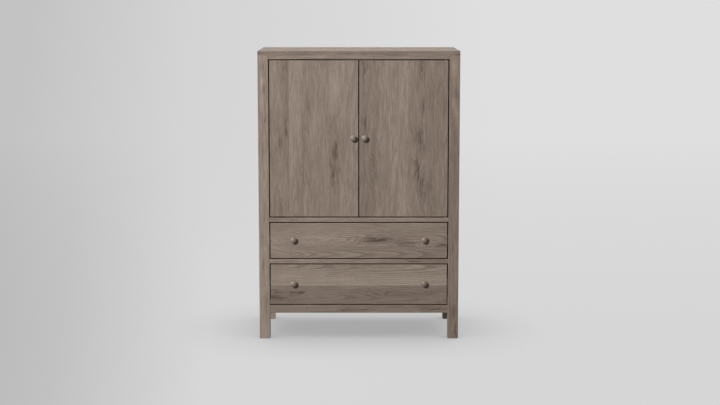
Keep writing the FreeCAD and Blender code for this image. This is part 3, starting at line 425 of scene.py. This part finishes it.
# Drawer fronts. Edge-glued oak with the grain from side to side and eased edges, with eyes and flames
# of the grain. The lower one has a pale board over a dark one, with a paler strip at the glue line.
FIGURED_OAK = dict(WEATHERED_OAK, weights={"ring": 0.32, "streak": 0.42, "fleck": 0.3, "mottle": 0.3})
FRONT_STAVES = {
    "upper": ((0.0, 0.0, 0.1), (0.35, 0.04, 0.55)),
    "lower": ((0.0, -0.13, 0.16), (0.474, 0.22, 0.95), (0.51, 0.06, 0.95)),
}
FRONT_FIGURES = {
    "upper": (
        (78, 1, 190, 36, 5.0, 0.30), (84, 0, 90, 20, 1.0, 0.56), (212, -13, 150, 34, 4.0, 0.36),
        (412, -20, 80, 13, 1.0, 0.70), (-500, -4, 430, 140, -9.0, 0.0), (-170, 20, 260, 90, 0.0, -0.16),
        (-400, 0, 220, 120, 0.0, -0.16)),
    "lower": (
        (-380, -76, 220, 66, 9.0, 0.24), (-317, -43, 46, 15, 1.0, 0.50), (-275, -43, 38, 13, 1.0, 0.60),
        (-400, -64, 70, 16, 1.0, 0.26), (238, -48, 260, 26, 4.0, 0.16), (-330, 60, 300, 80, 0.0, -0.04),
        (250, -70, 420, 60, 0.0, -0.08), (0, 112, 800, 80, 0.0, 0.16), (0, 18, 1600, 60, 0.0, -0.12),
        (0, -90, 1600, 60, 0.0, -0.07)),
}
for name, seed, heart in (("upper", 0.19, (34, 0.06)), ("lower", 0.69, (40, 0.05))):
    node = f"{name}_drawer_front"
    dress(node, sawn_board(f"weathered_oak_{node}", node, "xzy", FIGURED_OAK, seed, 0.0, heart,
                           FRONT_STAVES[name], FRONT_FIGURES[name]))

# Knobs. Turned from the same oak and stained with the case, with more sheen, as the lathe leaves
# them smooth; each is held by a machine screw from behind its door or drawer front.
TURNED_OAK = dict(WEATHERED_OAK, ring=4.0, sway=(8, 5, 5), roughness=(0.3, 0.42))
for node, seed in (("left_door_knob", 0.23), ("right_door_knob", 0.61),
                   ("upper_drawer_knobs", 0.35), ("lower_drawer_knobs", 0.87)):
    dress(node, sawn_board(f"turned_oak_{node}", node, "xzy", TURNED_OAK, seed, 0.03, (20, 0.1),
                           rubbed=False))
for node in ("left_door_knob_screw", "right_door_knob_screw",
             "upper_drawer_knob_screws", "lower_drawer_knob_screws"):
    dress(node, zinc)

# Drawer boxes. Pale poplar boards dovetailed at all four corners, with a plywood bottom slid into
# grooves; plain sanded wood under a clear sealer, and the bottom's peeled veneer has a broad figure.
PLAIN_PLYWOOD = dict(
    STAINED_PLYWOOD,
    colours=("#b0966c", "#cbb48c", "#dccaa7"),
    weights={"ring": 0.2, "streak": 0.3, "fleck": 0.1, "mottle": 0.34},
    pore_depth=0.08,
)
BOX_BOARDS = {
    "left_side": ("yzx", 0.12),
    "right_side": ("yzx", 0.44),
    "box_front": ("xzy", 0.67),
    "back": ("xzy", 0.93),
}
for name, shift in (("upper", 0.0), ("lower", 0.31)):
    for board_name, (lie, seed) in BOX_BOARDS.items():
        node = f"{name}_drawer_{board_name}"
        dress(node, sawn_board(f"pale_poplar_{node}", node, lie, PALE_POPLAR, seed + shift, 0.0,
                               (50, 0.03)))
    node = f"{name}_drawer_bottom"
    dress(node, sawn_board(f"plain_plywood_{node}", node, "xyz", PLAIN_PLYWOOD, 0.4 + shift, 0.0,
                           (90, 0.1)))

# Telescopic slides. Cold-rolled steel channels with a bright zinc plate, drawn through rollers, so
# fine lines run along them; one member on the cabinet, one on the drawer, one between.
zinc_slide = worked_metal("rolled_zinc_plated_steel", "#c6c9cc", "#a3a7ab", 0.3, (1.2, 60, 1.2))
for name in ("upper", "lower"):
    for node in (f"{name}_cabinet_slides", f"{name}_middle_slides", f"{name}_drawer_slides"):
        dress(node, zinc_slide)
dress("cabinet_slide_screws", zinc)

# Small screws. Zinc-plated pan heads with a cross recess: they hold the back panel, the catches and
# strikes, the floor cleats, the drawer fronts on their boxes and the slides on the drawers. The
# heads are pressed to one shape and driven home at different turns.
HEAD_SIZES = {"Head radius": 0.0036, "Head height": 0.0018, "Recess length": 0.0042, "Recess width": 0.0009}
HEAD_SIDES = 24
HEAD_RINGS = 4
DOME_CURVE = 2.0
DOME_DROP = 0.7
pan_heads = bpy.data.node_groups.new("pan_head_screws", "GeometryNodeTree")
pan_heads.interface.new_socket("Places", in_out="INPUT", socket_type="NodeSocketGeometry")
head_sockets = {label: pan_heads.interface.new_socket(label, in_out="INPUT", socket_type="NodeSocketFloat")
                for label in HEAD_SIZES}
finish_socket = pan_heads.interface.new_socket("Finish", in_out="INPUT", socket_type="NodeSocketMaterial")
pan_heads.interface.new_socket("Screws", in_out="OUTPUT", socket_type="NodeSocketGeometry")
given = add(pan_heads, "NodeGroupInput").outputs
head_height = given["Head height"]
blank = add(pan_heads, "GeometryNodeMeshCylinder",
            {"Vertices": HEAD_SIDES, "Side Segments": HEAD_RINGS, "Radius": given["Head radius"],
             "Depth": head_height})
spot = add(pan_heads, "GeometryNodeInputPosition")
spot_axes = add(pan_heads, "ShaderNodeSeparateXYZ", {0: spot})
risen = add(pan_heads, "ShaderNodeMath", {0: spot_axes.outputs[2], 1: head_height}, operation="DIVIDE")
risen = add(pan_heads, "ShaderNodeMath", {0: risen, 1: 0.5}, operation="ADD")
risen = add(pan_heads, "ShaderNodeMath", {0: risen, 1: DOME_CURVE}, operation="POWER")
narrowed = add(pan_heads, "ShaderNodeMath", {0: risen, 1: -DOME_DROP, 2: 1.0}, operation="MULTIPLY_ADD")
narrowed = add(pan_heads, "ShaderNodeMath", {0: narrowed}, operation="SQRT")
domed = add(pan_heads, "ShaderNodeCombineXYZ", {0: narrowed, 1: narrowed, 2: 1.0})
domed = add(pan_heads, "ShaderNodeVectorMath", {0: spot, 1: domed}, operation="MULTIPLY")
half_height = add(pan_heads, "ShaderNodeMath", {0: head_height, 1: 0.5}, operation="MULTIPLY")
on_face = add(pan_heads, "ShaderNodeCombineXYZ", {2: half_height})
head = add(pan_heads, "GeometryNodeSetPosition", {"Geometry": blank, "Position": domed, "Offset": on_face})
on_top = add(pan_heads, "ShaderNodeCombineXYZ", {2: head_height})
for long_way, short_way in ((0, 1), (1, 0)):
    size = add(pan_heads, "ShaderNodeCombineXYZ",
               {long_way: given["Recess length"], short_way: given["Recess width"], 2: head_height})
    bit = add(pan_heads, "GeometryNodeMeshCube", {"Size": size})
    bit = add(pan_heads, "GeometryNodeTransform", {"Geometry": bit, "Translation": on_top})
    head = add(pan_heads, "GeometryNodeMeshBoolean", {"Mesh 1": head, "Mesh 2": bit},
               operation="DIFFERENCE", solver="EXACT")
head = add(pan_heads, "GeometryNodeSetShadeSmooth", {"Geometry": head, "Shade Smooth": False})
facing = add(pan_heads, "GeometryNodeInputNamedAttribute", {"Name": "facing"}, data_type="FLOAT_VECTOR")
scale = add(pan_heads, "GeometryNodeInputNamedAttribute", {"Name": "scale"}, data_type="FLOAT")
upright = add(pan_heads, "FunctionNodeAlignRotationToVector", {"Vector": facing}, axis="Z")
turn = add(pan_heads, "FunctionNodeRandomValue", {2: 0.0, 3: math.pi / 2, "Seed": 7}, data_type="FLOAT")
turn = add(pan_heads, "ShaderNodeCombineXYZ", {2: turn.outputs[1]})
turn = add(pan_heads, "FunctionNodeEulerToRotation", {0: turn})
driven = add(pan_heads, "FunctionNodeRotateRotation", {"Rotation": upright, "Rotate By": turn},
             rotation_space="LOCAL")
placed = add(pan_heads, "GeometryNodeInstanceOnPoints",
             {"Points": given["Places"], "Instance": head, "Rotation": driven, "Scale": scale})
real = add(pan_heads, "GeometryNodeRealizeInstances", {0: placed})
finished = add(pan_heads, "GeometryNodeSetMaterial", {"Geometry": real, "Material": given["Finish"]})
add(pan_heads, "NodeGroupOutput", {"Screws": finished})

panel_low, panel_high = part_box("back_panel")
floor_low, floor_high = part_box("compartment_floor")
top_rail_low, top_rail_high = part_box("top_rear_rail")
low_rail_low, low_rail_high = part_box("bottom_rear_rail")
cleat_low, cleat_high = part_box("floor_cleats")
catch_low, catch_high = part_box("door_catches")
in_floor = (floor_low[2] + floor_high[2]) / 2
in_top_rail = (top_rail_low[2] + top_rail_high[2]) / 2
in_low_rail = (low_rail_low[2] + low_rail_high[2]) / 2
in_cleat = (cleat_low[2] + cleat_high[2]) / 2
post_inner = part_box("front_right_post")[0][0]
catch_middle = (catch_low[1] + catch_high[1]) / 2
FLOOR_SPACING = 0.1
RAIL_SPACING = 0.17
CATCH_SIDES = (-0.050, -0.022, 0.022, 0.050)
CLEAT_DEPTHS = (-0.13, 0.0, 0.13)
# each row is the way its heads face, their size against the full one, and their places
SCREWS = {
    "cabinet": [
        ((0, 1, 0), 1.0, [(FLOOR_SPACING * step, panel_high[1], in_floor) for step in range(-4, 5)]),
        ((0, -1, 0), 1.0, [(RAIL_SPACING * step, panel_low[1], level) for step in range(-2, 3)
                           for level in (in_low_rail, in_top_rail)]),
        ((0, 0, -1), 0.6, [(across, catch_middle, catch_low[2]) for across in CATCH_SIDES]),
        ((1, 0, 0), 1.0, [(-post_inner, deep, in_cleat) for deep in CLEAT_DEPTHS]),
        ((-1, 0, 0), 1.0, [(post_inner, deep, in_cleat) for deep in CLEAT_DEPTHS]),
    ],
}
STRIKE_INSET = 0.0035
STRIKE_SINK = 0.0007
for side in ("left", "right"):
    plate_low, plate_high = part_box(f"{side}_strike_plate")
    in_plate = (plate_low[2] + plate_high[2]) / 2
    ends = (plate_low[0] + STRIKE_INSET, plate_high[0] - STRIKE_INSET)
    on_plate = plate_high[1] - STRIKE_SINK
    SCREWS[f"{side}_door"] = [((0, 1, 0), 0.5, [(across, on_plate, in_plate) for across in ends])]
FRONT_PLACES = [(across, up) for across in (-0.2, 0.0, 0.2) for up in (-0.04, 0.04)]
SLIDE_DEPTHS = (0.04, 0.2, 0.36)
SLIDE_WEB = 0.0012
for name in ("upper", "lower"):
    box_low, box_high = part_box(f"{name}_drawer_box_front")
    slide_low, slide_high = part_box(f"{name}_drawer_slides")
    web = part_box(f"{name}_drawer_right_side")[1][0] + SLIDE_WEB
    in_slide = (slide_low[2] + slide_high[2]) / 2
    in_box = (box_low[2] + box_high[2]) / 2
    SCREWS[f"{name}_drawer"] = [
        ((0, 1, 0), 1.1, [(across, box_high[1], in_box + up) for across, up in FRONT_PLACES]),
        ((-1, 0, 0), 0.9, [(-web, slide_low[1] + deep, in_slide) for deep in SLIDE_DEPTHS]),
        ((1, 0, 0), 0.9, [(web, slide_low[1] + deep, in_slide) for deep in SLIDE_DEPTHS]),
    ]
for body, rows in SCREWS.items():
    marks = [(place, way, share) for way, share, places in rows for place in places]
    mesh = bpy.data.meshes.new(f"{body}_screws")
    mesh.from_pydata([mark[0] for mark in marks], [], [])
    mesh.attributes.new("facing", "FLOAT_VECTOR", "POINT").data.foreach_set(
        "vector", [value for mark in marks for value in mark[1]])
    mesh.attributes.new("scale", "FLOAT", "POINT").data.foreach_set("value", [mark[2] for mark in marks])
    screws = bpy.data.objects.new(f"{body}_screws", mesh)
    bpy.context.scene.collection.objects.link(screws)
    heads = screws.modifiers.new("pan_heads", "NODES")
    heads.node_group = pan_heads
    for label, value in HEAD_SIZES.items():
        heads[head_sockets[label].identifier] = value
    heads[finish_socket.identifier] = zinc
    made = screws.evaluated_get(bpy.context.evaluated_depsgraph_get())
    plain = bpy.data.meshes.new_from_object(made)
    screws.modifiers.remove(heads)
    screws.data = plain
    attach(screws, body)

# Studio. A pale seamless floor with painted light falloff that makes it a little darker to the left, a
# painted shadow under the armoire, and a faint glow onto the armoire in place of bounced light; a soft
# key light from the upper left, a weak light over the top, one on each side and one behind, and an
# even surrounding light.
FLOOR_REACH = 400.0
# the painted light falloff on the paper fans out from a place in front of it, in m, and changes from near
# to far
FAN_START = 9.0
FAN_LEAST = 4.0
FAN_WIDTH = 0.21
FAR_FROM = 10.0
FAR_FALLOFF_TONES = ((0.0, "#c3c3c3"), (0.25, "#d4d4d4"), (0.5, "#d9d9d9"), (0.7, "#dfdfdf"))
NEAR_FALLOFF_TONES = ((0.0, "#bababa"), (0.1, "#c1c1c1"), (0.3, "#d7d7d7"), (0.65, "#d6d6d6"))
# the painted shadow under the armoire: how far its occlusion reaches in m, the occlusion where it is
# darkest and how dark it gets
SHADOW_REACH = 0.5
SHADOW_HOLLOW = 0.2
SHADOW_DEPTH = 0.58
# how strongly the paper glows onto the armoire, in place of light bounced off the floor
FLOOR_BOUNCE = 0.3


def in_sight(tree):
    """1 for what is seen straight, in a reflection or through glass, and 0 for light on the object."""
    path = add(tree, "ShaderNodeLightPath").outputs
    seen = add(tree, "ShaderNodeMath", {0: path["Is Camera Ray"], 1: path["Is Glossy Ray"]},
               operation="MAXIMUM")
    return add(tree, "ShaderNodeMath", {0: seen, 1: path["Is Transmission Ray"]}, operation="MAXIMUM")


floor_mesh = bpy.data.meshes.new("floor")
floor_mesh.from_pydata([(-FLOOR_REACH, -FLOOR_REACH, 0), (FLOOR_REACH, -FLOOR_REACH, 0),
                        (FLOOR_REACH, FLOOR_REACH, 0), (-FLOOR_REACH, FLOOR_REACH, 0)], [], [(0, 1, 2, 3)])
floor = bpy.data.objects.new("floor", floor_mesh)
bpy.context.scene.collection.objects.link(floor)
paper = bpy.data.materials.new("pale_studio_paper")
paper.use_nodes = True
tree = paper.node_tree
tree.nodes.clear()
coords = add(tree, "ShaderNodeTexCoord").outputs["Object"]
floor_axes = add(tree, "ShaderNodeSeparateXYZ", {0: coords}).outputs
reach = add(tree, "ShaderNodeMath", {0: floor_axes[1], 1: FAN_START}, operation="ADD")
reach = add(tree, "ShaderNodeMath", {0: reach, 1: FAN_LEAST}, operation="MAXIMUM")
bearing = add(tree, "ShaderNodeMath", {0: floor_axes[0], 1: reach}, operation="DIVIDE")
spread = add(tree, "ShaderNodeMapRange", {"Value": bearing, "From Min": -FAN_WIDTH, "From Max": FAN_WIDTH})
far, near = (add(tree, "ShaderNodeValToRGB", {0: spread}, [(place, linear(text)) for place, text in tones])
             for tones in (FAR_FALLOFF_TONES, NEAR_FALLOFF_TONES))
remote = add(tree, "ShaderNodeMapRange", {"Value": floor_axes[1], "From Min": 0.0, "From Max": FAR_FROM})
# the paper's pale colour with painted light falloff, darker to the left and nearer the front
paper_with_falloff = add(tree, "ShaderNodeMix", {0: remote, 6: near, 7: far}, data_type="RGBA").outputs[2]
# a painted shadow, drawn from the occlusion under and around the armoire
hollow = add(tree, "ShaderNodeAmbientOcclusion", {"Distance": SHADOW_REACH}, samples=32)
shadow = add(tree, "ShaderNodeMapRange",
             {"Value": hollow.outputs["AO"], "From Min": SHADOW_HOLLOW, "From Max": 1.0,
              "To Min": SHADOW_DEPTH, "To Max": 1.0})
# seen straight the paper glows with its painted shadow; towards the armoire it glows evenly, in place of
# bounced light
strength = add(tree, "ShaderNodeMix", {0: in_sight(tree), 2: FLOOR_BOUNCE, 3: shadow})
glow = add(tree, "ShaderNodeEmission", {"Color": paper_with_falloff, "Strength": strength})
add(tree, "ShaderNodeOutputMaterial", {"Surface": glow})
floor_mesh.materials.append(paper)

world = bpy.data.worlds.new("studio")
bpy.context.scene.world = world
world.use_nodes = True
tree = world.node_tree
tree.nodes.clear()
around = add(tree, "ShaderNodeBackground", {"Color": linear("#bababa"), "Strength": 0.2})
behind = add(tree, "ShaderNodeBackground", {"Color": linear("#dadada"), "Strength": 1.0})
mixed = add(tree, "ShaderNodeMixShader", {0: in_sight(tree), 1: around, 2: behind})
add(tree, "ShaderNodeOutputWorld", {"Surface": mixed})

# each lamp is its place, what it points at, its width in m and its power in W
LAMPS = {
    "key_light": ((-5.1, -6.9, 5.5), (0.0, 0.0, 0.75), 0.9, 1075.0),
    "top_light": ((-0.3, -0.1, 3.6), (0.0, 0.0, 1.0), 1.2, 22.0),
    "left_light": ((-3.6, 1.2, 2.2), (0.0, 0.2, 0.7), 2.0, 80.0),
    "right_light": ((3.6, 1.2, 2.2), (0.0, 0.2, 0.7), 2.0, 80.0),
    "rear_light": ((0.4, 4.2, 2.4), (0.0, 0.2, 0.7), 2.0, 70.0),
}
for name, (place, aim, width, watts) in LAMPS.items():
    lamp = bpy.data.lights.new(name, "AREA")
    lamp.shape = "DISK"
    lamp.size = width
    lamp.energy = watts
    stand = bpy.data.objects.new(name, lamp)
    stand.visible_camera = False
    stand.visible_glossy = name == "key_light"
    stand.location = place
    stand.rotation_euler = (Vector(aim) - Vector(place)).to_track_quat("-Z", "Y").to_euler()
    bpy.context.scene.collection.objects.link(stand)

CAMERA_PLACE = (0.0056, -7.5443, 1.6742)
CAMERA_DIP = 7.84
camera = bpy.data.cameras.new("camera")
camera.lens = 76.6
camera.sensor_width = 36.0
camera.clip_end = 1000.0
tripod = bpy.data.objects.new("camera", camera)
tripod.location = CAMERA_PLACE
tripod.rotation_euler = (math.radians(90.0 - CAMERA_DIP), 0.0, 0.0)
bpy.context.scene.collection.objects.link(tripod)
bpy.context.scene.camera = tripod
bpy.context.scene.view_settings.view_transform = "Standard"
